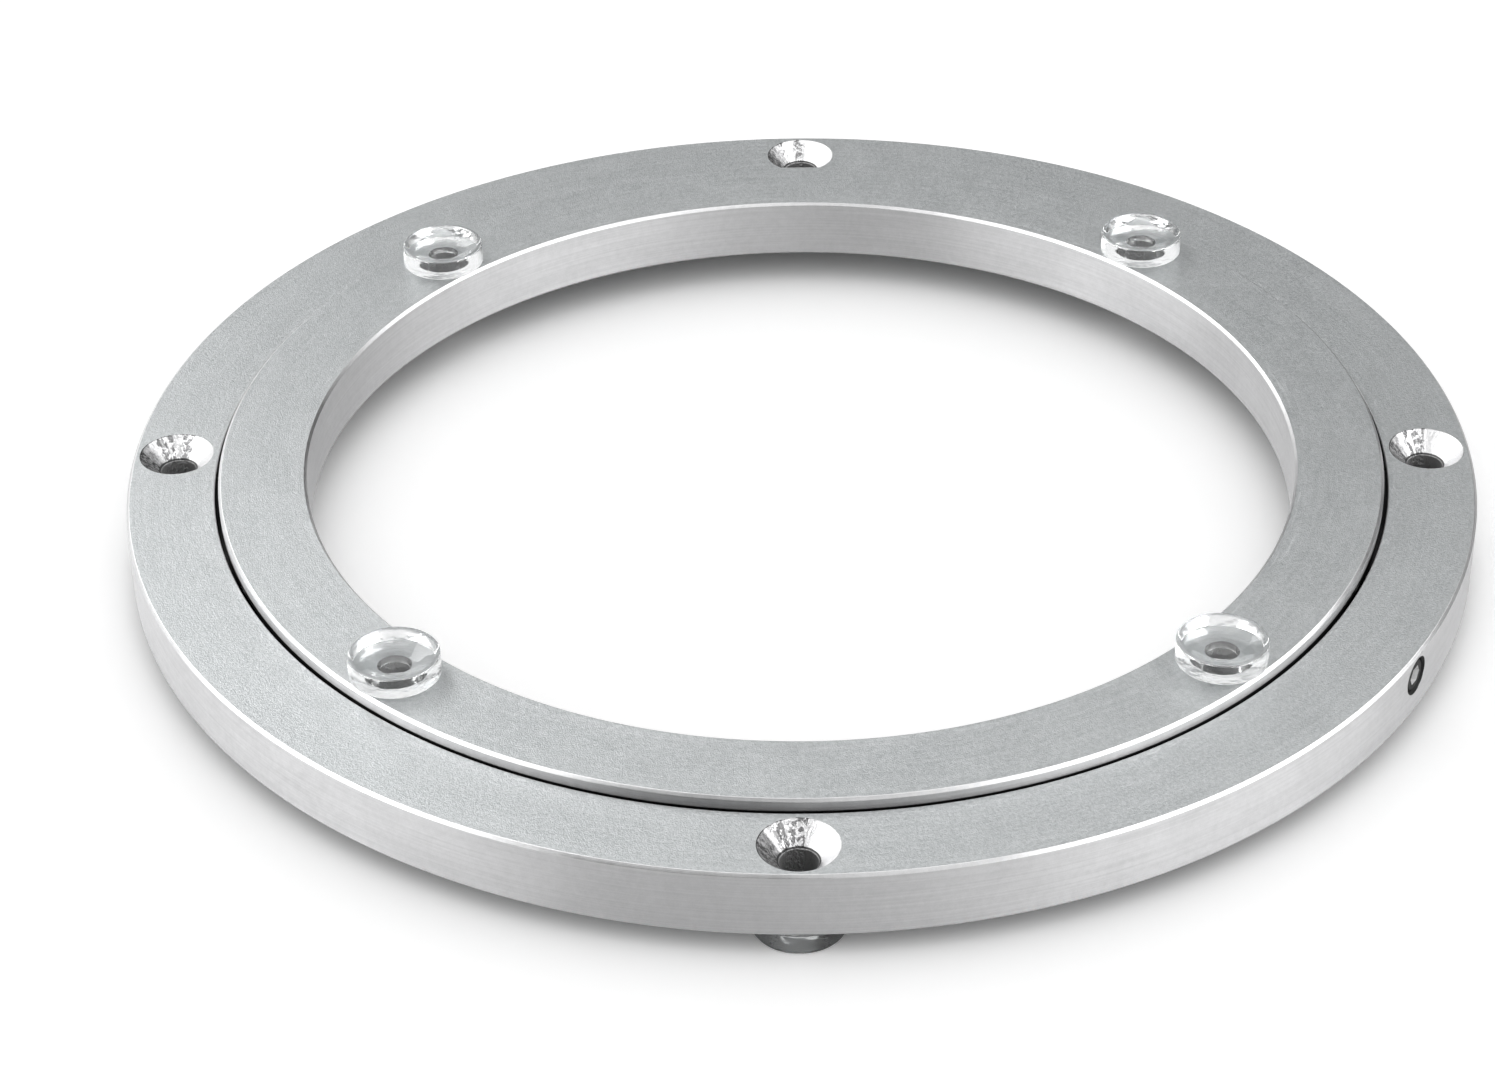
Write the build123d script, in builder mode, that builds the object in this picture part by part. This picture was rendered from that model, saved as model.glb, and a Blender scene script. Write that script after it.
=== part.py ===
from build123d import *
import os
from math import radians, sin, sqrt

os.makedirs("parts", exist_ok=True)

# Every size is in millimetres and every angle in degrees. The turntable's axis is
# the Z axis, and the undersides of its feet lie in the plane Z = 0.

# Screws that hold the turntable, with 5 mm countersunk heads
screw_count = 4
screw_hole_radius = 2.6
countersink_radius = 5.5
countersink_angle = 90.0
countersink_land = 0.975  # flat metal between a countersink and each wall of the ring

# Clear moulded pads on the inner ring, whose stems plug its screw holes, and feet of
# the same form under the outer ring, bored for its screws
pad_radius = 6.4
pad_height = 3.1
pad_inset = 0.125  # metal left outside a pad at each wall of the inner ring
pad_rim_width = 0.6
pad_dish_depth = 1.4
pad_dish_slope = 2.9  # how far the side of the dish runs inwards on its way down
foot_bore_radius = 2.0
stem_length = 2.5
stem_clearance = 0.05

# Aluminium rings
outer_radius = 100.0
outer_ring_height = 10.0
inner_ring_height = 9.5
inner_ring_lift = 2.15  # from the underside of the outer ring to that of the inner ring
race_lift = 0.45  # from the middle height of the two rings together to the race
ring_gap = 0.6
ring_chamfer = 0.4
gap_edge_chamfer = 0.15  # on the edges of the outer ring beside the gap, only just broken
inner_ring_turn = 46.3  # first pad at rest, counted from the first hole of the outer ring

# Steel balls in V grooves, and the nylon rods that keep them apart
ball_count = 16
ball_radius = 2.0
ball_clearance = 0.05
spacer_side_clearance = 0.1
spacer_end_clearance = 0.1

# Grub screw that closes the hole through which the balls went in
plug_angle = 328.4
filling_clearance = 0.1  # around a ball on its way through the hole
thread_depth = 0.4
thread_clearance = 0.03
plug_wall = 2.1  # between the bottom of the ball groove and the inner end of the plug
plug_recess = 0.25
plug_chamfer = 0.3
plug_mouth_chamfer = 0.4
plug_socket_flats = 2.5
plug_socket_depth = 2.5

# Radii that follow, from the outer wall inwards
outer_ring_width = 2 * (countersink_radius + countersink_land)
inner_ring_width = 2 * (pad_radius + pad_inset)
outer_ring_bore = outer_radius - outer_ring_width
race_radius = outer_ring_bore - ring_gap / 2
centre_hole_radius = race_radius - ring_gap / 2 - inner_ring_width
outer_hole_circle = outer_radius - outer_ring_width / 2
inner_hole_circle = centre_hole_radius + inner_ring_width / 2
groove_half_width = ball_radius + ball_clearance  # from the race's centre to each flank
groove_depth = groove_half_width * sqrt(2)  # from the race's centre to the bottom of the V
filling_radius = ball_radius + filling_clearance
thread_radius = filling_radius + thread_depth
plug_seat_radius = race_radius + groove_depth + plug_wall

# Heights that follow, from the feet upwards
outer_bottom = pad_height
outer_top = outer_bottom + outer_ring_height
inner_bottom = outer_bottom + inner_ring_lift
inner_top = inner_bottom + inner_ring_height
race_height = (outer_bottom + outer_top + inner_bottom + inner_top) / 4 + race_lift

# Plane through the axis at the height of the race, facing out along the plug
plug_direction = Vector(1, 0, 0).rotate(Axis.Z, plug_angle)
plug_plane = Plane((0, 0, race_height), x_dir=(0, 0, 1), z_dir=plug_direction)


def turned_ring(inside_radius, width, bottom, height, inside_chamfer):
    """Ring with chamfered edges and its own V groove, one half of the ball race."""
    with BuildPart() as ring:
        with BuildSketch(Plane.XZ) as section:
            with Locations((inside_radius + width / 2, bottom + height / 2)):
                Rectangle(width, height)
            chamfer(section.vertices().group_by(Axis.X)[-1], ring_chamfer)
            chamfer(section.vertices().group_by(Axis.X)[0], inside_chamfer)
            with Locations((race_radius, race_height)):
                Rectangle(2 * groove_half_width, 2 * groove_half_width, rotation=45, mode=Mode.SUBTRACT)
        revolve(axis=Axis.Z)
    return ring.part


def clear_pad(hole_circle, angle, height, facing, bore_radius):
    """Dished pad at a screw hole, facing up (1) or down (-1), with its stem in the hole."""
    outwards = Vector(1, 0, 0).rotate(Axis.Z, angle)
    seat = outwards * hole_circle + Vector(0, 0, height)
    section_plane = Plane(seat, x_dir=outwards, z_dir=Vector(0, 0, facing).cross(outwards) * -1)
    stem_radius = screw_hole_radius - stem_clearance
    rim_radius = pad_radius - pad_rim_width
    floor_radius = rim_radius - pad_dish_slope
    floor_height = pad_height - pad_dish_depth
    with BuildPart() as pad:
        with BuildSketch(section_plane):
            with BuildLine():
                Polyline(
                    (bore_radius, -stem_length),
                    (stem_radius, -stem_length),
                    (stem_radius, 0),
                    (pad_radius, 0),
                    (pad_radius, pad_height),
                    (rim_radius, pad_height),
                    (floor_radius, floor_height),
                    (bore_radius, floor_height),
                    close=True,
                )
            make_face()
        revolve(axis=Axis(seat, (0, 0, facing)))
    return pad


# Outer ring: countersunk from above, with the filling hole in its wall
with BuildPart() as outer_ring:
    add(turned_ring(outer_ring_bore, outer_ring_width, outer_bottom, outer_ring_height, gap_edge_chamfer))
    with Locations((0, 0, outer_top)):
        with PolarLocations(outer_hole_circle, screw_count):
            CounterSinkHole(screw_hole_radius, countersink_radius, counter_sink_angle=countersink_angle)
    with Locations(plug_plane.offset(outer_radius)):
        Hole(filling_radius, depth=outer_radius - race_radius)
        CounterSinkHole(
            thread_radius,
            thread_radius + plug_mouth_chamfer,
            depth=outer_radius - plug_seat_radius,
            counter_sink_angle=countersink_angle,
        )
outer_ring.part.label = "outer_ring"
export_step(outer_ring.part, "parts/outer_ring.step")

# Filling plug: a grub screw that bottoms at the end of its thread
with BuildPart() as filling_plug:
    with BuildSketch(plug_plane.offset(plug_seat_radius)):
        Circle(thread_radius - thread_clearance)
    extrude(amount=outer_radius - plug_recess - plug_seat_radius)
    chamfer(filling_plug.edges().filter_by(GeomType.CIRCLE), plug_chamfer)
    with BuildSketch(plug_plane.offset(outer_radius - plug_recess)):
        RegularPolygon(plug_socket_flats / 2, side_count=6, major_radius=False)
    extrude(amount=-plug_socket_depth, mode=Mode.SUBTRACT)
filling_plug.part.label = "filling_plug"
export_step(filling_plug.part, "parts/filling_plug.step")

# Inner ring: countersunk from below, so that screws go up into the platform
with BuildPart() as inner_ring:
    add(turned_ring(centre_hole_radius, inner_ring_width, inner_bottom, inner_ring_height, ring_chamfer))
    # The plane faces down, so angles on it run the other way round
    with Locations(Plane((0, 0, inner_bottom), x_dir=(1, 0, 0), z_dir=(0, 0, -1))):
        with PolarLocations(inner_hole_circle, screw_count, start_angle=-inner_ring_turn):
            CounterSinkHole(screw_hole_radius, countersink_radius, counter_sink_angle=countersink_angle)
inner_ring.part.label = "inner_ring"
export_step(inner_ring.part, "parts/inner_ring.step")

# Feet under the outer ring and pads on the inner ring, numbered anticlockwise from +X
for number in range(screw_count):
    angle = 360 / screw_count * number

    foot = clear_pad(outer_hole_circle, angle, outer_bottom, -1, foot_bore_radius)
    foot.part.label = f"foot_{number + 1}"
    export_step(foot.part, f"parts/foot_{number + 1}.step")

    pad = clear_pad(inner_hole_circle, angle + inner_ring_turn, inner_top, 1, 0)
    pad.part.label = f"pad_{number + 1}"
    export_step(pad.part, f"parts/pad_{number + 1}.step")

# Balls, evenly spaced around the race
ball_pitch = 360 / ball_count
with BuildPart() as bearing_balls:
    with Locations((0, 0, race_height)):
        with PolarLocations(race_radius, ball_count):
            Sphere(ball_radius)
bearing_balls.part.label = "bearing_balls"
export_step(bearing_balls.part, "parts/bearing_balls.step")

# Straight rods between the balls: each lies along a chord of the race and is as
# thick as the curve of the groove lets it be
spacer_reach = race_radius * sin(radians(ball_pitch / 2)) - ball_radius - spacer_end_clearance
spacer_bow = race_radius - sqrt(race_radius**2 - spacer_reach**2)
spacer_radius = groove_half_width - spacer_bow / 2 - spacer_side_clearance
for number in range(ball_count):
    chord_direction = Vector(0, 1, 0).rotate(Axis.Z, ball_pitch * (number + 0.5))
    chord_middle = Vector(race_radius - spacer_bow / 2, 0, race_height).rotate(
        Axis.Z, ball_pitch * (number + 0.5)
    )
    with BuildPart() as ball_spacer:
        with BuildSketch(Plane(chord_middle, z_dir=chord_direction)):
            Circle(spacer_radius)
        extrude(amount=spacer_reach, both=True)
    ball_spacer.part.label = f"ball_spacer_{number + 1}"
    export_step(ball_spacer.part, f"parts/ball_spacer_{number + 1}.step")
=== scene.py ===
from math import cos, pi, radians, sin, sqrt

import bmesh
import bpy
from mathutils import Matrix, Quaternion, Vector


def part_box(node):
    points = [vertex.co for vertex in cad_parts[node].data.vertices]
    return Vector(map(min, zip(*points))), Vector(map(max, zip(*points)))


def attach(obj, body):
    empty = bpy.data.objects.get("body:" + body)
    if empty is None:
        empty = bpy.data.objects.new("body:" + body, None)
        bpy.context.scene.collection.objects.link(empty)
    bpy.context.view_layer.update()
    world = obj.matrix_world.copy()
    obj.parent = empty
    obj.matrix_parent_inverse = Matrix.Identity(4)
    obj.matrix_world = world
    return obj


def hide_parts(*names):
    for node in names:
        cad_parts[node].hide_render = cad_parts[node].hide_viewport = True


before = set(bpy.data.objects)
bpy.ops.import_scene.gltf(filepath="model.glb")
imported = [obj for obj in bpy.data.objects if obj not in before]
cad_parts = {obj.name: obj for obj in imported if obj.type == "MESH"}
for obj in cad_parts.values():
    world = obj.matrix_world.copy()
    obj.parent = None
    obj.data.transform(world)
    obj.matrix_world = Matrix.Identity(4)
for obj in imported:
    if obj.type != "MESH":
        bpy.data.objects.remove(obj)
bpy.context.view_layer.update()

# Sizes are in metres, written in millimetres where that reads better. The turning
# axis is the Z axis, and the turntable stands on the plane Z = 0.
mm = 0.001

# What the CAD nodes give: the outer radius and every height
outer_low, outer_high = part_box("outer_ring")
inner_low, inner_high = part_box("inner_ring")
outer_radius = outer_high.x

# Rings
ring_gap = 0.6 * mm
ring_chamfer = 0.4 * mm
gap_edge_chamfer = 0.15 * mm
outer_ring_width = 12.95 * mm
inner_ring_width = 13.05 * mm
race_radius = outer_radius - outer_ring_width - ring_gap / 2
outer_hole_circle = outer_radius - outer_ring_width / 2
inner_hole_circle = race_radius - ring_gap / 2 - inner_ring_width / 2
centre_hole_radius = race_radius - ring_gap / 2 - inner_ring_width
inner_ring_turn = radians(46.3)
ring_segments = 384  # around the axis

# Screw holes
screw_count = 4
screw_hole_radius = 2.6 * mm
countersink_radius = 5.5 * mm
hole_segments = 96  # around a hole, a pad or the plug

# Balls and the rods between them
ball_count = 16
ball_radius = 2.0 * mm
ball_clearance = 0.05 * mm
groove_depth = (ball_radius + ball_clearance) * sqrt(2)
race_lift = 0.45 * mm
race_height = (outer_low.z + outer_high.z + inner_low.z + inner_high.z) / 4 + race_lift
spacer_side_clearance = 0.1 * mm
spacer_end_clearance = 0.1 * mm
race_segments = 48  # around a ball or a rod

# Filling hole in the outer wall, and the grub screw in it
plug_angle = radians(328.4)
filling_radius = 2.1 * mm
thread_radius = 2.5 * mm
thread_clearance = 0.03 * mm
plug_wall = 2.1 * mm
plug_recess = 0.25 * mm
plug_chamfer = 0.3 * mm
plug_mouth_chamfer = 0.4 * mm
plug_socket_flats = 2.5 * mm
plug_socket_corners = plug_socket_flats / sqrt(3)
plug_socket_depth = 2.5 * mm
plug_seat_radius = race_radius + groove_depth + plug_wall

# Clear pads, and the feet of the same form that are bored for screws
pad_radius = 6.4 * mm
pad_height = 3.1 * mm
pad_rim_width = 0.6 * mm
pad_dish_depth = 1.4 * mm
pad_dish_slope = 2.9 * mm
foot_bore_radius = 2.0 * mm
pad_stem_length = 2.5 * mm
pad_stem_clearance = 0.05 * mm
pad_stem_radius = screw_hole_radius - pad_stem_clearance

# How far the corners are rounded: on the metal by the tools and the tumbling, and on
# the clear parts by the mould
metal_ease = 0.07 * mm
moulded_ease = 0.15 * mm

# Points nearer to each other than this are one point
weld_distance = 0.0005 * mm

# Edges turned by more degrees than this stay sharp
metal_crease = 5.0
moulded_crease = 16.0
race_crease = 30.0

# Rub marks on the rings, and the painted shade down in the gap
rub_mark_width = 0.45 * mm
gap_shade_black = (0.012, 0.012, 0.012)

# Order of the finishes on a ring, and on the plug
ring_face, ring_wall, screw_hole, bright_edge, painted_mouth_shade = range(5)
plug_outside, plug_socket = range(2)


def put(tree, kind, inputs=None, **settings):
    """Adds a node with its settings, each input filled with a value or another socket."""
    made = tree.nodes.new(kind)
    for name, value in settings.items():
        setattr(made, name, value)
    for socket, value in (inputs or {}).items():
        if isinstance(value, bpy.types.NodeSocket):
            tree.links.new(value, made.inputs[socket])
        else:
            made.inputs[socket].default_value = value
    return made


def maths(tree, operation, first, second=0.0):
    return put(tree, "ShaderNodeMath", {0: first, 1: second}, operation=operation).outputs[0]


def vector_maths(tree, operation, first, second=(0.0, 0.0, 0.0)):
    made = put(tree, "ShaderNodeVectorMath", {0: first, 1: second}, operation=operation)
    return made.outputs["Value" if operation in ("LENGTH", "DOT_PRODUCT") else "Vector"]


def sockets(tree, inputs, outputs):
    """Gives a node group its named inputs and outputs, and returns its two end nodes."""
    for name, kind, value in inputs:
        socket = tree.interface.new_socket(name, in_out="INPUT", socket_type=kind)
        if value is not None:
            socket.default_value = value
    for name, kind in outputs:
        tree.interface.new_socket(name, in_out="OUTPUT", socket_type=kind)
    return tree.nodes.new("NodeGroupInput"), tree.nodes.new("NodeGroupOutput")


# Shapes

def turned_form_tree():
    """Geometry tree that sweeps a closed section in the XZ plane around the Z axis."""
    tree = bpy.data.node_groups.new("turned form", "GeometryNodeTree")
    given, result = sockets(
        tree,
        [
            ("Section", "NodeSocketGeometry", None),
            ("Middle Radius", "NodeSocketFloat", 0.01),
            ("Segments", "NodeSocketInt", 96),
            ("Material", "NodeSocketMaterial", None),
        ],
        [("Form", "NodeSocketGeometry")],
    )
    outline = put(tree, "GeometryNodeMeshToCurve", {"Mesh": given.outputs["Section"]})
    inwards = put(
        tree,
        "ShaderNodeCombineXYZ",
        {"X": maths(tree, "MULTIPLY", given.outputs["Middle Radius"], -1.0)},
    )
    # Curve to Mesh wants the profile in its XY plane, measured from the path
    profile = put(
        tree,
        "GeometryNodeTransform",
        {"Geometry": outline.outputs[0], "Translation": inwards.outputs[0], "Rotation": (pi / 2, 0, 0)},
    )
    path = put(
        tree,
        "GeometryNodeCurvePrimitiveCircle",
        {"Resolution": given.outputs["Segments"], "Radius": given.outputs["Middle Radius"]},
    )
    swept = put(
        tree,
        "GeometryNodeCurveToMesh",
        {"Curve": path.outputs[0], "Profile Curve": profile.outputs[0]},
    )
    finish_tree(tree, swept.outputs[0], given.outputs["Material"], result)
    return tree


def copies_around_axis_tree():
    """Geometry tree that sets copies of a piece on a circle, each turned to face outwards."""
    tree = bpy.data.node_groups.new("copies around the axis", "GeometryNodeTree")
    given, result = sockets(
        tree,
        [
            ("Piece", "NodeSocketGeometry", None),
            ("Radius", "NodeSocketFloat", 0.01),
            ("Count", "NodeSocketInt", 4),
            ("First Angle", "NodeSocketFloat", 0.0),
            ("Height", "NodeSocketFloat", 0.0),
            ("Material", "NodeSocketMaterial", None),
        ],
        [("Copies", "NodeSocketGeometry")],
    )
    circle = put(
        tree,
        "GeometryNodeMeshCircle",
        {"Vertices": given.outputs["Count"], "Radius": given.outputs["Radius"]},
    )
    lift = put(tree, "ShaderNodeCombineXYZ", {"Z": given.outputs["Height"]})
    turn = put(tree, "ShaderNodeCombineXYZ", {"Z": given.outputs["First Angle"]})
    places = put(
        tree,
        "GeometryNodeTransform",
        {"Geometry": circle.outputs[0], "Translation": lift.outputs[0], "Rotation": turn.outputs[0]},
    )
    position = put(tree, "GeometryNodeInputPosition").outputs[0]
    outwards = vector_maths(tree, "MULTIPLY", position, (1, 1, 0))
    facing = put(
        tree, "FunctionNodeAlignRotationToVector", {"Vector": outwards}, axis="X", pivot_axis="Z"
    )
    copies = put(
        tree,
        "GeometryNodeInstanceOnPoints",
        {"Points": places.outputs[0], "Instance": given.outputs["Piece"], "Rotation": facing.outputs[0]},
    )
    finish_tree(tree, copies.outputs[0], given.outputs["Material"], result)
    return tree


def finish_tree(tree, geometry, material, result):
    """Ends a geometry tree in real faces that carry their material."""
    real = put(tree, "GeometryNodeRealizeInstances", {"Geometry": geometry})
    dressed = put(tree, "GeometryNodeSetMaterial", {"Geometry": real.outputs[0], "Material": material})
    tree.links.new(dressed.outputs[0], result.inputs[0])


def place_piece(name, mesh):
    piece = bpy.data.objects.new(name, mesh)
    bpy.context.scene.collection.objects.link(piece)
    return piece


def evaluated_mesh(piece):
    return bpy.data.meshes.new_from_object(piece.evaluated_get(bpy.context.evaluated_depsgraph_get()))


def run_tree(name, mesh, tree, **values):
    """Plain mesh piece that a geometry tree makes from a mesh."""
    maker = place_piece(name + "_maker", mesh)
    modifier = maker.modifiers.new("tree", "NODES")
    modifier.node_group = tree
    for socket in tree.interface.items_tree:
        value = values.get(socket.name.replace(" ", "_").lower())
        if value is not None:
            modifier[socket.identifier] = value
    result = evaluated_mesh(maker)
    bpy.data.objects.remove(maker)
    return place_piece(name, result)


def point_faces_outwards(mesh):
    shape = bmesh.new()
    shape.from_mesh(mesh)
    bmesh.ops.remove_doubles(shape, verts=shape.verts, dist=weld_distance)
    bmesh.ops.dissolve_degenerate(shape, edges=shape.edges, dist=weld_distance)
    bmesh.ops.recalc_face_normals(shape, faces=shape.faces)
    shape.to_mesh(mesh)
    shape.free()


def smooth(piece, crease):
    """Smooth shading that stays sharp at edges turned by more than crease degrees."""
    piece.data.shade_smooth()
    piece.data.set_sharp_from_angle(angle=radians(crease))


def eased(corners, ease, steps=4):
    """Closed outline along the corners, each rounded by its own ease or the common one."""
    points = []
    for number, corner in enumerate(corners):
        here = Vector(corner[:2])
        before = Vector(corners[number - 1][:2]) - here
        after = Vector(corners[(number + 1) % len(corners)][:2]) - here
        reach = corner[2] if len(corner) > 2 else ease
        if reach == 0:
            points.append(here)
            continue
        start, end = here + before.normalized() * reach, here + after.normalized() * reach
        for step in range(steps + 1):
            share = step / steps
            points.append(start * (1 - share) ** 2 + here * 2 * share * (1 - share) + end * share**2)
    return points


def turned_piece(name, outline, segments, material=None):
    """Lathe-turned piece from its closed outline of (radius, height) points."""
    mesh = bpy.data.meshes.new(name + "_section")
    edges = [(i, (i + 1) % len(outline)) for i in range(len(outline))]
    mesh.from_pydata([(r, 0, z) for r, z in outline], edges, [])
    radii = [r for r, _ in outline]
    piece = run_tree(
        name,
        mesh,
        turned_form,
        middle_radius=(min(radii) + max(radii)) / 2,
        segments=segments,
        material=material,
    )
    point_faces_outwards(piece.data)
    return piece


def copies(piece, name, radius, count, first_angle, height, material=None):
    """Copies of a piece around the turning axis, as one mesh. The piece itself is used up."""
    mesh = piece.data
    bpy.data.objects.remove(piece)
    return run_tree(
        name,
        mesh,
        copies_around_axis,
        radius=radius,
        count=count,
        first_angle=first_angle,
        height=height,
        material=material,
    )


def cut(piece, *cutters):
    """Takes each cutter out of a piece. The cutters are used up."""
    for cutter in cutters:
        modifier = piece.modifiers.new("cut", "BOOLEAN")
        modifier.operation = "DIFFERENCE"
        modifier.solver = "EXACT"
        modifier.object = cutter
        result = evaluated_mesh(piece)
        piece.modifiers.remove(modifier)
        piece.data = result
        bpy.data.objects.remove(cutter)
    point_faces_outwards(piece.data)


def move_mesh(piece, matrix):
    piece.data.transform(matrix)
    return piece


def ring_outline(inside, outside, bottom, top, grooved_wall):
    """Section of a ring with chamfered corners and its V groove in one wall."""
    outer_edge = ring_chamfer
    inner_edge = gap_edge_chamfer if grooved_wall == "inside" else ring_chamfer
    opening = groove_depth - ring_gap / 2
    inner_wall = [(inside, top - inner_edge), (inside, bottom + inner_edge)]
    outer_wall = [(outside, bottom + outer_edge), (outside, top - outer_edge)]
    if grooved_wall == "inside":
        groove = [(inside, opening), (race_radius + groove_depth, 0), (inside, -opening)]
        inner_wall[1:1] = [(r, race_height + z) for r, z in groove]
    else:
        groove = [(outside, -opening), (race_radius - groove_depth, 0), (outside, opening)]
        outer_wall[1:1] = [(r, race_height + z) for r, z in groove]
    corners = [
        *inner_wall,
        (inside + inner_edge, bottom),
        (outside - outer_edge, bottom),
        *outer_wall,
        (outside - outer_edge, top),
        (inside + inner_edge, top),
    ]
    return eased(corners, metal_ease)


def screw_hole_cutter(name, face_height, facing):
    """Countersunk hole at the axis, opening at face_height towards facing (1 up, -1 down)."""
    reach = 12 * mm
    lip = 0.12 * mm
    flare = 0.03 * mm
    slope = countersink_radius - screw_hole_radius
    corners = [
        (0, reach / 4),
        (countersink_radius + 2 * lip, reach / 4),
        (countersink_radius + 2 * lip, flare),
        (countersink_radius, 0, lip),
        (screw_hole_radius, -slope, lip / 2),
        (screw_hole_radius, -reach),
        (0, -reach),
    ]
    cutter = turned_piece(name, eased(corners, 0), hole_segments)
    turn = Matrix.Identity(4) if facing > 0 else Matrix.Rotation(pi, 4, "X")
    return move_mesh(cutter, Matrix.Translation((0, 0, face_height)) @ turn)


def along_plug(piece):
    """Lays a piece made along Z, its heights measured from the axis, in the plug's direction."""
    turn = Matrix.Rotation(plug_angle, 4, "Z") @ Matrix.Rotation(pi / 2, 4, "Y")
    return move_mesh(piece, Matrix.Translation((0, 0, race_height)) @ turn)


def filling_hole_cutter():
    """Ball way, thread and chamfered mouth of the filling hole."""
    mouth = thread_radius + plug_mouth_chamfer
    corners = [
        (0, race_radius),
        (filling_radius, race_radius),
        (filling_radius, plug_seat_radius),
        (thread_radius, plug_seat_radius),
        (thread_radius, outer_radius - plug_mouth_chamfer, metal_ease),
        (mouth, outer_radius, metal_ease),
        (mouth + plug_mouth_chamfer, outer_radius + 2 * plug_mouth_chamfer),
        (0, outer_radius + 2 * plug_mouth_chamfer),
    ]
    return along_plug(turned_piece("filling_hole", eased(corners, 0), hole_segments))


def screw_places(circle, first_angle):
    """Directions and distances of the screw axes of one ring."""
    turns = [first_angle + 2 * pi * number / screw_count for number in range(screw_count)]
    return [Vector((circle * cos(turn), circle * sin(turn), 0)) for turn in turns]


def from_plug_axis(point):
    """How far out a point is along the plug, and its distance from the plug's axis."""
    towards_plug = Vector((cos(plug_angle), sin(plug_angle), 0))
    along = point.dot(towards_plug)
    return along, (point - Vector((0, 0, race_height)) - towards_plug * along).length


def give_finishes(mesh, finishes):
    mesh.materials.clear()
    for material in finishes:
        mesh.materials.append(material)


def dress_ring(piece, places):
    """Gives each face of a ring its own finish, and each point its place from the nearest screw.

    The filling hole's mouth and bore take the plug's black, as painted shade.
    """
    mesh = piece.data
    give_finishes(mesh, (face_metal, wall_metal, hole_metal, edge_metal, plug_steel))
    plug_reach = thread_radius + plug_mouth_chamfer + metal_ease
    wall_radius = outer_radius - metal_ease / 8
    hole_reach = countersink_radius + 0.2 * mm
    level_slope, wall_slope = 0.99, 0.15
    for face in mesh.polygons:
        flat = Vector((face.center.x, face.center.y, 0))
        from_screw = min((flat - place).length for place in places)
        along, from_plug = from_plug_axis(face.center)
        slope = abs(face.normal.z)
        if from_screw < hole_reach and slope <= level_slope:
            face.material_index = screw_hole
        # Painted shade: the faces of the filling hole round the plug go black
        elif along > race_radius and from_plug < plug_reach and flat.length < wall_radius:
            face.material_index = painted_mouth_shade
        elif slope > level_slope:
            face.material_index = ring_face
        else:
            face.material_index = ring_wall if slope < wall_slope else bright_edge
    spots = []
    for vertex in mesh.vertices:
        flat = Vector((vertex.co.x, vertex.co.y, 0))
        nearest = min(places, key=lambda place: (flat - place).length)
        spots.extend(vertex.co - nearest)
    mesh.attributes.new("from_screw", "FLOAT_VECTOR", "POINT").data.foreach_set("vector", spots)


def make_ring(name, inside, width, box, grooved_wall, hole_circle, first_angle, facing):
    """One ring of the turntable, with its countersunk screw holes."""
    low, high = box
    outline = ring_outline(inside, inside + width, low.z, high.z, grooved_wall)
    ring = turned_piece(name + "_turned", outline, ring_segments)
    opening = high.z if facing > 0 else low.z
    cutter = screw_hole_cutter(name + "_screw_hole", opening, facing)
    cutters = copies(cutter, name + "_screw_holes", hole_circle, screw_count, first_angle, 0.0)
    point_faces_outwards(cutters.data)
    cut(ring, cutters)
    return ring


def clear_pad_piece(name, bore_radius):
    """Moulded pad on the plane Z = 0, with its stem below. With a bore radius of 0 it is closed."""
    rim_radius = pad_radius - pad_rim_width
    floor_radius = rim_radius - pad_dish_slope
    floor_height = pad_height - pad_dish_depth
    outer_rim_ease, inner_rim_ease = 0.35 * mm, 0.2 * mm
    bore_ease = moulded_ease if bore_radius else 0
    floor_ease = 0.5 * mm if bore_radius else 1.5 * mm
    corners = [
        (bore_radius, -pad_stem_length, bore_ease),
        (pad_stem_radius, -pad_stem_length, moulded_ease),
        (pad_stem_radius, 0),
        (pad_radius, 0, moulded_ease),
        (pad_radius, pad_height, outer_rim_ease),
        (rim_radius, pad_height, inner_rim_ease),
        (floor_radius, floor_height, floor_ease),
        (bore_radius, floor_height, bore_ease),
    ]
    return turned_piece(name, eased(corners, 0, steps=6), hole_segments)


def filling_plug_piece():
    """Grub screw with chamfered ends and a hexagon socket."""
    body = thread_radius - thread_clearance
    outside = outer_radius - plug_recess
    corners = [
        (0, plug_seat_radius),
        (body - plug_chamfer, plug_seat_radius, metal_ease),
        (body, plug_seat_radius + plug_chamfer, metal_ease),
        (body, outside - plug_chamfer, metal_ease),
        (body - plug_chamfer, outside, metal_ease),
        (0, outside),
    ]
    plug = turned_piece("filling_plug_fine", eased(corners, 0), hole_segments)
    socket = bmesh.new()
    bmesh.ops.create_cone(
        socket,
        cap_ends=True,
        segments=6,
        radius1=plug_socket_corners,
        radius2=plug_socket_corners,
        depth=2 * plug_socket_depth,
        matrix=Matrix.Translation((0, 0, outside)),
    )
    mesh = bpy.data.meshes.new("socket")
    socket.to_mesh(mesh)
    socket.free()
    cut(plug, place_piece("socket", mesh))
    return along_plug(plug)


# Finishes

def shader_group(name, inputs, outputs):
    tree = bpy.data.node_groups.new(name, "ShaderNodeTree")
    given, result = sockets(tree, inputs, outputs)
    return tree, given, result


def times(tree, first, second):
    return maths(tree, "MULTIPLY", first, second)


def away_from(tree, value, wanted):
    """How far a value is from the wanted one."""
    return maths(tree, "ABSOLUTE", maths(tree, "SUBTRACT", value, wanted))


def weighted(tree, *parts):
    """Sum of values, each times its own share."""
    total = 0.0
    for value, share in parts:
        made = put(tree, "ShaderNodeMath", {0: value, 1: share, 2: total}, operation="MULTIPLY_ADD")
        total = made.outputs[0]
    return total


def spread(tree, value, low, high):
    """Value from 0 to 1 spread from low to high."""
    return put(tree, "ShaderNodeMapRange", {"Value": value, "To Min": low, "To Max": high}).outputs[0]


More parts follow.
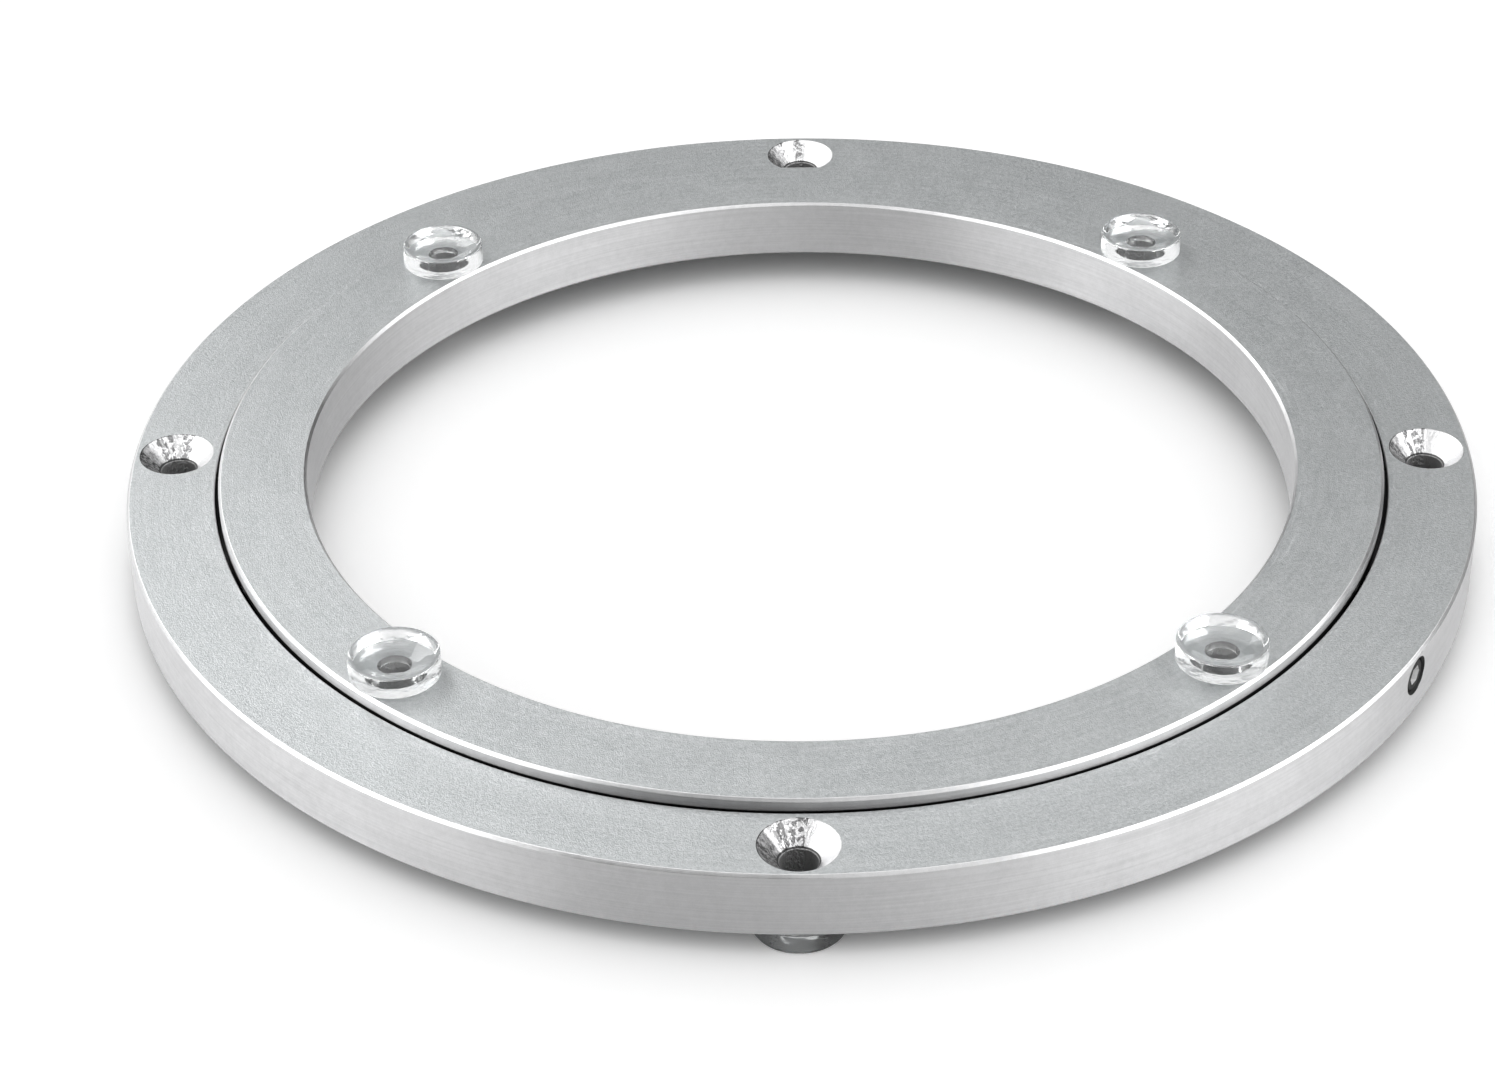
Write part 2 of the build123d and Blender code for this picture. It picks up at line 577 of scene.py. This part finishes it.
def between(tree, value, start, end):
    """0 before start, 1 after end, and a smooth step between them. End may lie before start."""
    inputs = {"Value": value, "From Min": start, "From Max": end}
    return put(tree, "ShaderNodeMapRange", inputs, interpolation_type="SMOOTHSTEP").outputs[0]


def noise(tree, where, detail, roughness=0.6, scale=1.0):
    inputs = {"Vector": where, "Scale": scale, "Detail": detail, "Roughness": roughness}
    return put(tree, "ShaderNodeTexNoise", inputs).outputs["Fac"]


def stretched(tree, value):
    """Noise, which keeps near its middle, stretched to run from 0 to 1."""
    return between(tree, value, 0.3, 0.7)


def object_place(tree):
    return put(tree, "ShaderNodeTexCoord").outputs["Object"]


def up_by(tree, value):
    return put(tree, "ShaderNodeCombineXYZ", {"Z": value}).outputs[0]


def height_of(tree, place):
    return put(tree, "ShaderNodeSeparateXYZ", {0: place}).outputs["Z"]


def flattened(tree, place):
    return vector_maths(tree, "MULTIPLY", place, (1, 1, 0))


def radius_of(tree, place):
    """Distance of a place from the axis that it is measured from."""
    return vector_maths(tree, "LENGTH", flattened(tree, place))


def outwards_at(tree, place):
    """Level direction of length 1 from the axis to a place."""
    return vector_maths(tree, "NORMALIZE", flattened(tree, place))


def turning_marks_group():
    """Fine lines left by the lathe, which run around the axis and break off now and then."""
    tree, given, result = shader_group(
        "turning marks",
        [
            ("Place", "NodeSocketVector", None),
            ("Line Width", "NodeSocketFloat", 0.0001),
            ("Breaks", "NodeSocketFloat", 6.0),
        ],
        [("Height", "NodeSocketFloat"), ("Tone", "NodeSocketFloat")],
    )
    place = given.outputs["Place"]
    # Height counts more than radius, or one line would cover the whole of a chamfer
    height_share = 1.37
    across = weighted(tree, (height_of(tree, place), height_share), (radius_of(tree, place), 1.0))
    across = maths(tree, "DIVIDE", across, given.outputs["Line Width"])
    around = put(tree, "ShaderNodeVectorMath", {0: outwards_at(tree, place)}, operation="SCALE")
    tree.links.new(given.outputs["Breaks"], around.inputs["Scale"])
    for name, share in (("Height", 1.0), ("Tone", 0.22)):
        stacked = up_by(tree, times(tree, across, share))
        where = vector_maths(tree, "ADD", around.outputs["Vector"], stacked)
        tree.links.new(stretched(tree, noise(tree, where, 3.0)), result.inputs[name])
    return tree


def blasted_grain_group():
    """Fine grain that bead blasting leaves, the mottle of its pits, and a wide faint cloudiness."""
    tree, given, result = shader_group(
        "blasted grain",
        [
            ("Place", "NodeSocketVector", None),
            ("Grain Size", "NodeSocketFloat", 0.0002),
            ("Mottle Size", "NodeSocketFloat", 0.001),
            ("Cloud Size", "NodeSocketFloat", 0.01),
        ],
        [("Height", "NodeSocketFloat"), ("Mottle", "NodeSocketFloat"), ("Cloud", "NodeSocketFloat")],
    )
    layers = (
        ("Height", "Grain Size", 2.0),
        ("Mottle", "Mottle Size", 3.0),
        ("Cloud", "Cloud Size", 4.0),
    )
    for name, size, detail in layers:
        scale = maths(tree, "DIVIDE", 1.0, given.outputs[size])
        layer = noise(tree, given.outputs["Place"], detail, scale=scale)
        tree.links.new(stretched(tree, layer), result.inputs[name])
    return tree


def group_node(tree, group, values):
    """Outputs of a shader group, with its inputs filled."""
    made = tree.nodes.new("ShaderNodeGroup")
    made.node_tree = group
    for name, value in values.items():
        if isinstance(value, bpy.types.NodeSocket):
            tree.links.new(value, made.inputs[name])
        else:
            made.inputs[name].default_value = value
    return made.outputs


def blasted(tree, place, grain_size, mottle_size, cloud_size):
    """Height, mottle and cloud of blasted metal, each with its own size."""
    sizes = {"Grain Size": grain_size, "Mottle Size": mottle_size, "Cloud Size": cloud_size}
    return group_node(tree, blasted_grain, {"Place": place, **sizes})


def turned(tree, place, line_width, breaks):
    """Height and tone of the lathe's marks."""
    return group_node(tree, turning_marks, {"Place": place, "Line Width": line_width, "Breaks": breaks})


def finish(name, **values):
    """New material with a Principled BSDF, and the values that are the same all over it."""
    made = bpy.data.materials.new(name)
    made.use_nodes = True
    tree = made.node_tree
    shader = tree.nodes["Principled BSDF"]
    for socket, value in values.items():
        shader.inputs[socket.replace("_", " ")].default_value = value
    return made, tree, shader


def drive(tree, shader, **values):
    """Links each value to the shader's socket of that name."""
    for socket, value in values.items():
        tree.links.new(value, shader.inputs[socket.replace("_", " ")])


def tinted(tree, value, dark, light):
    """Colour between dark and light, each a colour or a socket, by a value from 0 to 1."""
    inputs = {"Factor": value}
    for end, colour in (("A", dark), ("B", light)):
        inputs[end] = (*colour, 1) if isinstance(colour, tuple) else colour
    return put(tree, "ShaderNodeMix", inputs, data_type="RGBA").outputs["Result"]


def bump(tree, height, distance, under=None):
    inputs = {"Height": height, "Distance": distance, "Strength": 1.0}
    if under is not None:
        inputs["Normal"] = under
    return put(tree, "ShaderNodeBump", inputs).outputs["Normal"]


def across_marks(tree):
    """Direction across the lathe's marks, along which they spread a highlight."""
    surface = put(tree, "ShaderNodeNewGeometry").outputs
    along = vector_maths(tree, "CROSS_PRODUCT", (0, 0, 1), surface["Position"])
    across = vector_maths(tree, "CROSS_PRODUCT", surface["True Normal"], along)
    return vector_maths(tree, "NORMALIZE", across)


def rubbed(tree, place, wanted, reach, breaks):
    """Whitish rub marks in a band around the axis, drawn out along it and broken up."""
    radius = radius_of(tree, place)
    around = vector_maths(tree, "MULTIPLY", outwards_at(tree, place), (breaks, breaks, 0))
    steps = up_by(tree, maths(tree, "DIVIDE", radius, rub_mark_width))
    marks = noise(tree, vector_maths(tree, "ADD", around, steps), 4.0, roughness=0.65)
    band = between(tree, away_from(tree, radius, wanted), reach, 0.0)
    return times(tree, between(tree, marks, 0.52, 0.68), band)


def blasted_aluminium():
    """Flat faces of the rings: turned, then blasted fine and even, and rubbed at the edges."""
    made, tree, shader = finish("blasted_aluminium", Metallic=1.0, Anisotropic=0.3)
    place = object_place(tree)
    grain = blasted(tree, place, grain_size=0.2 * mm, mottle_size=0.5 * mm, cloud_size=6 * mm)
    marks = turned(tree, place, line_width=0.11 * mm, breaks=5.0)
    beside_gap = rubbed(tree, place, race_radius + 1.2 * mm, reach=1.4 * mm, breaks=60.0)
    beside_hole = rubbed(tree, place, centre_hole_radius + 1.6 * mm, reach=1.8 * mm, breaks=8.0)
    tone = weighted(
        tree,
        (grain["Mottle"], 0.44),
        (grain["Cloud"], 0.10),
        (grain["Height"], 0.28),
        (marks["Tone"], 0.18),
        (beside_gap, 0.7),
        (beside_hole, 0.5),
    )
    fine = bump(tree, marks["Height"], 0.004 * mm)
    drive(
        tree,
        shader,
        Base_Color=tinted(tree, tone, (0.365, 0.38, 0.385), (0.55, 0.565, 0.57)),
        Roughness=spread(tree, tone, 0.40, 0.50),
        Normal=bump(tree, grain["Height"], 0.022 * mm, under=fine),
        Tangent=across_marks(tree),
    )
    return made


def turned_aluminium(name, dark, light, roughness):
    """Walls or chamfers of the rings, as the tool left them, and darkened near black by painted shade in
    the gap.
    """
    made, tree, shader = finish(name, Metallic=1.0, Anisotropic=0.8)
    place = object_place(tree)
    grain = blasted(tree, place, grain_size=0.2 * mm, mottle_size=1.1 * mm, cloud_size=12 * mm)
    marks = turned(tree, place, line_width=0.09 * mm, breaks=3.0)
    tone = weighted(
        tree,
        (grain["Mottle"], 0.22),
        (grain["Cloud"], 0.20),
        (grain["Height"], 0.18),
        (marks["Tone"], 0.40),
    )
    # Painted shade: the walls down in the gap between the rings go near black
    from_race = away_from(tree, radius_of(tree, place), race_radius)
    in_race = between(tree, from_race, groove_depth + 0.2 * mm, groove_depth + 0.1 * mm)
    height = height_of(tree, place)
    below_top = between(tree, height, outer_high.z - 0.05 * mm, outer_high.z - 0.25 * mm)
    painted_gap_shade = times(tree, in_race, below_top)
    fine = bump(tree, grain["Height"], 0.002 * mm)
    drive(
        tree,
        shader,
        Base_Color=tinted(tree, painted_gap_shade, tinted(tree, tone, dark, light), gap_shade_black),
        Roughness=spread(tree, tone, *roughness),
        Normal=bump(tree, marks["Height"], 0.006 * mm, under=fine),
        Tangent=across_marks(tree),
    )
    return made


def bored_aluminium():
    """Countersinks and holes: bright metal with dark chatter marks, painted shade on the side of each
    cone towards -X, a painted shadow round the top of the bore, and dark down in the drilled part.
    """
    made, tree, shader = finish("bored_aluminium", Metallic=1.0)
    place = put(tree, "ShaderNodeAttribute", attribute_name="from_screw").outputs["Vector"]
    radius, height = radius_of(tree, place), height_of(tree, place)
    around = outwards_at(tree, place)
    marks = turned(tree, place, line_width=0.12 * mm, breaks=2.0)
    # Each hole has its own pattern, drawn from where it is on the ring
    apart = 20.0
    own = vector_maths(tree, "SCALE", object_place(tree))
    own.node.inputs["Scale"].default_value = apart

    def chatter(scale, detail, start, end, slant=0.0):
        """Broken marks around a hole. With a slant they lean as they run down it."""
        lean = up_by(tree, times(tree, height, slant))
        where = vector_maths(tree, "MULTIPLY", around, (scale,) * 3)
        where = vector_maths(tree, "ADD", vector_maths(tree, "ADD", where, lean), own)
        return between(tree, noise(tree, where, detail), start, end)

    # Painted shade darkens the side of each cone towards -X, broken up by chatter, and dark streaks run
    # on the side towards +Y
    shade_direction, streak_direction = (-0.94, -0.34, 0.0), (-0.2, 0.98, 0.0)
    towards_shade = vector_maths(tree, "DOT_PRODUCT", around, shade_direction)
    shaded_side = weighted(tree, (towards_shade, 1.0), (chatter(2.0, 2.0, 0.3, 0.7), 0.35))
    shaded_side = between(tree, shaded_side, 0.6, 1.1)
    towards_streaks = vector_maths(tree, "DOT_PRODUCT", around, streak_direction)
    streaked = weighted(tree, (towards_streaks, 1.0), (chatter(3.0, 2.0, 0.3, 0.7), 0.3))
    streaked = between(tree, streaked, 0.97, 1.2)
    ribs = chatter(13.0, 3.0, 0.38, 0.62, slant=2600.0)
    nicks = chatter(7.0, 2.0, 0.42, 0.58, slant=1800.0)
    shaded_ribs = times(tree, ribs, shaded_side)
    dark_ribs = times(tree, nicks, streaked)
    shaded_nicks = times(tree, nicks, between(tree, towards_shade, -0.2, 0.5))
    lip = between(tree, radius, countersink_radius - 0.1 * mm, countersink_radius)
    # Painted shadow: a dark ring round the top of each bore
    rim_shadow = between(tree, radius, screw_hole_radius + 0.34 * mm, screw_hole_radius + 0.22 * mm)
    drilled = between(tree, radius, screw_hole_radius + 0.12 * mm, screw_hole_radius + 0.04 * mm)
    shade = weighted(
        tree,
        (shaded_side, 0.62),
        (shaded_ribs, 0.25),
        (dark_ribs, 0.75),
        (shaded_nicks, 0.22),
        (lip, 0.5),
        (rim_shadow, 1.0),
    )
    # The dark colour serves the painted shade, the painted shadow at the bore and the dark marks
    bright_metal, dark_of_shade_and_marks, drilled_metal = (0.66, 0.66, 0.665), (0.05, 0.05, 0.05), (0.32, 0.32, 0.32)
    cone = tinted(tree, shade, bright_metal, dark_of_shade_and_marks)
    rough = weighted(tree, (shaded_ribs, 0.6), (dark_ribs, 1.0), (ribs, 0.15))
    drive(
        tree,
        shader,
        Base_Color=tinted(tree, drilled, cone, drilled_metal),
        Roughness=spread(tree, maths(tree, "MAXIMUM", shaded_side, drilled), 0.32, 0.55),
        Normal=bump(tree, marks["Height"], 0.01 * mm, under=bump(tree, rough, 0.15 * mm)),
    )
    return made


def clear_plastic():
    """Clear moulded pads, with the faint flow ripple of the mould."""
    made, tree, shader = finish("clear_plastic", IOR=1.47, Transmission_Weight=0.95, Metallic=0.0)
    flow = blasted(tree, object_place(tree), grain_size=2.5 * mm, mottle_size=3 * mm, cloud_size=6 * mm)
    drive(
        tree,
        shader,
        Base_Color=tinted(tree, flow["Cloud"], (0.97, 0.98, 0.985), (0.99, 1.0, 1.0)),
        Roughness=spread(tree, flow["Cloud"], 0.04, 0.10),
        Normal=bump(tree, flow["Height"], 0.02 * mm),
    )
    return made


def plain_finish(name, dark, light, roughness, grain_size, depth, **values):
    """Even finish of a small part, with its own grain."""
    made, tree, shader = finish(name, **values)
    grain = blasted(tree, object_place(tree), grain_size, mottle_size=1 * mm, cloud_size=2 * mm)
    drive(
        tree,
        shader,
        Base_Color=tinted(tree, grain["Cloud"], dark, light),
        Roughness=spread(tree, grain["Cloud"], *roughness),
        Normal=bump(tree, grain["Height"], depth),
    )
    return made


turned_form = turned_form_tree()
copies_around_axis = copies_around_axis_tree()
turning_marks = turning_marks_group()
blasted_grain = blasted_grain_group()
face_metal = blasted_aluminium()
hole_metal = bored_aluminium()
wall_metal = turned_aluminium(
    "turned_aluminium", dark=(0.43, 0.43, 0.435), light=(0.58, 0.58, 0.585), roughness=(0.42, 0.52)
)
edge_metal = turned_aluminium(
    "bright_edge_aluminium", dark=(0.52, 0.52, 0.525), light=(0.72, 0.72, 0.725), roughness=(0.28, 0.38)
)
clear = clear_plastic()
# Black oxide of the grub screw, also used as painted shade in the filling hole
plug_steel = plain_finish(
    "plug_steel",
    dark=(0.006, 0.006, 0.006),
    light=(0.012, 0.012, 0.012),
    roughness=(0.45, 0.6),
    grain_size=0.1 * mm,
    depth=0.002 * mm,
    Metallic=0.0,
    Specular_IOR_Level=0.15,
)
# Painted highlight in the grub screw's socket: near-white walls, partly standing for bare steel worn by
# the key
socket_steel = plain_finish(
    "socket_steel",
    dark=(0.80, 0.80, 0.80),
    light=(0.90, 0.90, 0.90),
    roughness=(0.45, 0.6),
    grain_size=0.1 * mm,
    depth=0.005 * mm,
    Metallic=0.3,
)
ball_steel = plain_finish(
    "ball_steel",
    dark=(0.60, 0.60, 0.61),
    light=(0.66, 0.66, 0.67),
    roughness=(0.06, 0.12),
    grain_size=0.3 * mm,
    depth=0.0005 * mm,
    Metallic=1.0,
)
spacer_nylon = plain_finish(
    "spacer_nylon",
    dark=(0.02, 0.02, 0.021),
    light=(0.035, 0.035, 0.037),
    roughness=(0.50, 0.62),
    grain_size=0.15 * mm,
    depth=0.01 * mm,
    Metallic=0.0,
)

# Outer ring, with the filling hole cut into its wall
outer_ring = make_ring(
    "outer_ring",
    inside=race_radius + ring_gap / 2,
    width=outer_ring_width,
    box=(outer_low, outer_high),
    grooved_wall="inside",
    hole_circle=outer_hole_circle,
    first_angle=0.0,
    facing=1,
)
cut(outer_ring, filling_hole_cutter())
dress_ring(outer_ring, screw_places(outer_hole_circle, 0.0))

# Inner ring, countersunk from below
inner_ring = make_ring(
    "inner_ring",
    inside=centre_hole_radius,
    width=inner_ring_width,
    box=(inner_low, inner_high),
    grooved_wall="outside",
    hole_circle=inner_hole_circle,
    first_angle=inner_ring_turn,
    facing=-1,
)
dress_ring(inner_ring, screw_places(inner_hole_circle, inner_ring_turn))

for ring, body in ((outer_ring, "outer_race"), (inner_ring, "inner_race")):
    smooth(ring, metal_crease)
    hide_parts(ring.name.replace("_turned", ""))
    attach(ring, body)

# Pads on the inner ring, and the same part as feet under the outer ring
pads = copies(
    clear_pad_piece("pad", bore_radius=0),
    "clear_pads",
    radius=inner_hole_circle,
    count=screw_count,
    first_angle=inner_ring_turn,
    height=inner_high.z,
    material=clear,
)
upside_down = Matrix.Rotation(pi, 4, "X")
feet = copies(
    move_mesh(clear_pad_piece("foot", foot_bore_radius), upside_down),
    "clear_feet",
    radius=outer_hole_circle,
    count=screw_count,
    first_angle=0.0,
    height=outer_low.z,
    material=clear,
)
for group, body, node in ((pads, "inner_race", "pad"), (feet, "outer_race", "foot")):
    point_faces_outwards(group.data)
    smooth(group, moulded_crease)
    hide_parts(*[f"{node}_{number + 1}" for number in range(screw_count)])
    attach(group, body)

# Filling plug
plug = filling_plug_piece()
give_finishes(plug.data, (plug_steel, socket_steel))
below_face = outer_radius - plug_recess - 0.01 * mm
for face in plug.data.polygons:
    along, from_plug = from_plug_axis(face.center)
    in_socket = from_plug < plug_socket_corners and along < below_face
    face.material_index = plug_socket if in_socket else plug_outside
smooth(plug, metal_crease)
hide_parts("filling_plug")
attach(plug, "outer_race")

# Balls, and the straight rods that lie along the chords between them
ball_mesh = bpy.data.meshes.new("ball")
ball_shape = bmesh.new()
bmesh.ops.create_uvsphere(
    ball_shape, u_segments=race_segments, v_segments=race_segments // 2, radius=ball_radius
)
ball_shape.to_mesh(ball_mesh)
ball_shape.free()
balls = copies(
    place_piece("ball", ball_mesh),
    "race_balls",
    radius=race_radius,
    count=ball_count,
    first_angle=0.0,
    height=race_height,
    material=ball_steel,
)
half_pitch = pi / ball_count
spacer_reach = race_radius * sin(half_pitch) - ball_radius - spacer_end_clearance
spacer_bow = race_radius - sqrt(race_radius**2 - spacer_reach**2)
spacer_radius = ball_radius + ball_clearance - spacer_bow / 2 - spacer_side_clearance
spacer_ease = 0.2 * mm
rod_corners = [
    (0, -spacer_reach),
    (spacer_radius, -spacer_reach, spacer_ease),
    (spacer_radius, spacer_reach, spacer_ease),
    (0, spacer_reach),
]
rod = turned_piece("rod", eased(rod_corners, 0), race_segments)
move_mesh(rod, Matrix.Rotation(pi / 2, 4, "X"))
rods = copies(
    rod,
    "race_rods",
    radius=race_radius - spacer_bow / 2,
    count=ball_count,
    first_angle=half_pitch,
    height=race_height,
    material=spacer_nylon,
)
for group, nodes, slot in (
    (balls, ["bearing_balls"], "ball_steel"),
    (rods, [f"ball_spacer_{number + 1}" for number in range(ball_count)], "spacer_nylon"),
):
    point_faces_outwards(group.data)
    smooth(group, race_crease)
    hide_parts(*nodes)
    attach(group, "ball_train")


# Stage

def bare_stage_plane(name, size, height):
    shape = bmesh.new()
    bmesh.ops.create_grid(shape, x_segments=1, y_segments=1, size=size / 2)
    mesh = bpy.data.meshes.new(name)
    shape.to_mesh(mesh)
    shape.free()
    mesh.transform(Matrix.Translation((0, 0, height)))
    return place_piece(name, mesh)


def seen_ray(tree):
    """1 for a ray from the camera, also by way of metal or glass that shows what is around it."""
    path = put(tree, "ShaderNodeLightPath").outputs
    mirrored = maths(tree, "MAXIMUM", path["Is Glossy Ray"], path["Is Transmission Ray"])
    seen = maths(tree, "MAXIMUM", path["Is Camera Ray"], mirrored)
    return maths(tree, "MULTIPLY", seen, maths(tree, "LESS_THAN", path["Diffuse Depth"], 0.5))


def paper(name, plain_colour, seen_colour):
    """Paper that is plain for the light it gives back, with its own colour where it is seen."""
    made = bpy.data.materials.new(name)
    made.use_nodes = True
    tree = made.node_tree
    tree.nodes.remove(tree.nodes["Principled BSDF"])
    plain = put(tree, "ShaderNodeBsdfDiffuse", {"Color": (*plain_colour, 1)})
    seen = put(tree, "ShaderNodeBsdfDiffuse", {"Color": (*seen_colour, 1)})
    mix = put(tree, "ShaderNodeMixShader", {0: seen_ray(tree), 1: plain.outputs[0], 2: seen.outputs[0]})
    tree.links.new(mix.outputs[0], tree.nodes["Material Output"].inputs["Surface"])
    return made


def dark_flag(name, first_azimuth, last_azimuth, distance, bottom, top, through_pads=False):
    """Curved black cloth that shows in the metal, or else through the pads. It casts no shadow."""
    steps = 32
    mesh = bpy.data.meshes.new(name)
    spots = []
    for step in range(steps + 1):
        turn = radians(first_azimuth + (last_azimuth - first_azimuth) * step / steps)
        spots += [(distance * cos(turn), distance * sin(turn), height) for height in (bottom, top)]
    mesh.from_pydata(spots, [], [(2 * n, 2 * n + 2, 2 * n + 3, 2 * n + 1) for n in range(steps)])
    mesh.materials.append(black_cloth)
    flag = place_piece(name, mesh)
    flag.visible_camera = flag.visible_diffuse = flag.visible_shadow = False
    flag.visible_transmission = through_pads
    flag.visible_glossy = not through_pads


floor = bare_stage_plane("floor", size=6.0, height=0.0)
floor.data.materials.append(paper("floor_paper", (0.4, 0.4, 0.4), (1.12, 1.12, 1.12)))
black_cloth = paper("black_cloth", (0.02, 0.02, 0.02), (0.02, 0.02, 0.02))
flag_distance, camera_flag_distance = 1.3, 0.8

# Flags: first and last azimuth in degrees, distance, and the heights of both edges
dark_flag("back_flag", -45, 110, flag_distance, 0.0, 0.78)
dark_flag("camera_stand", 234, 273, camera_flag_distance, 0.0, 0.85)
dark_flag("camera_back", 264, 270, camera_flag_distance, 0.85, 1.7, through_pads=True)
dark_flag("left_flag", 150, 240, flag_distance, 0.55, 1.5)
dark_flag("right_flag", -45, 12, flag_distance, 0.55, 1.5)

world = bpy.data.worlds.new("studio")
world.use_nodes = True
bpy.context.scene.world = world
white = world.node_tree.nodes["Background"]
white.inputs["Color"].default_value = (1, 1, 1, 1)
white.inputs["Strength"].default_value = 1.0


def direction(azimuth, elevation):
    a, e = radians(azimuth), radians(elevation)
    return Vector((cos(e) * cos(a), cos(e) * sin(a), sin(e)))


def softbox(name, azimuth, elevation, distance, width, height, brightness, through_pads=False):
    """Softbox aimed at the turntable, which shines in the metal, and through the pads if asked.

    A brightness of 1 is white.
    """
    lamp = bpy.data.lights.new(name, "AREA")
    lamp.shape = "RECTANGLE"
    lamp.size, lamp.size_y = width, height
    lamp.energy = brightness * pi * width * height
    box = bpy.data.objects.new(name, lamp)
    towards = direction(azimuth, elevation)
    box.location = towards * distance
    box.rotation_euler = towards.to_track_quat("Z", "Y").to_euler()
    bpy.context.scene.collection.objects.link(box)
    box.visible_camera = box.visible_diffuse = False
    box.visible_transmission = through_pads


softbox_distance, near_distance = 0.9, 0.4

# Softboxes: azimuth and elevation in degrees, distance, width, height and brightness
softbox("left_low_softbox", 200, 12, softbox_distance, 1.1, 0.36, 2.2, through_pads=True)
softbox("left_high_softbox", 158, 37, softbox_distance, 1.3, 0.42, 3.2)
softbox("left_near_softbox", 200, 45, near_distance, 0.25, 0.25, 2.5)
softbox("right_low_softbox", 332, 12, softbox_distance, 0.9, 0.36, 3.1, through_pads=True)
softbox("right_high_softbox", 348, 37, softbox_distance, 1.1, 0.42, 4.0, through_pads=True)
softbox("right_back_softbox", 30, 36, softbox_distance, 0.6, 0.4, 1.0)
softbox("top_softbox", 90, 88, softbox_distance, 0.9, 0.5, 1.2)


# Camera at the photograph's viewing angle, with its lens and sensor in millimetres
camera_aim = Vector((-7.68, -15.48, 8.1)) * mm
camera_distance = 540.75 * mm
camera_azimuth = -88.73
camera_elevation = 34.05
camera_roll = -0.95
camera_lens = 88.57
camera_sensor = 36.0


def photograph_camera():
    lens = bpy.data.cameras.new("camera")
    lens.sensor_fit = "HORIZONTAL"
    lens.sensor_width = camera_sensor
    lens.lens = camera_lens
    lens.clip_start = 0.01
    camera = bpy.data.objects.new("camera", lens)
    back = direction(camera_azimuth, camera_elevation)
    camera.location = camera_aim + back * camera_distance
    level = back.to_track_quat("Z", "Y")
    camera.rotation_euler = (level @ Quaternion((0, 0, 1), radians(camera_roll))).to_euler()
    bpy.context.scene.collection.objects.link(camera)
    bpy.context.scene.camera = camera


photograph_camera()
bpy.context.scene.view_settings.view_transform = "Standard"
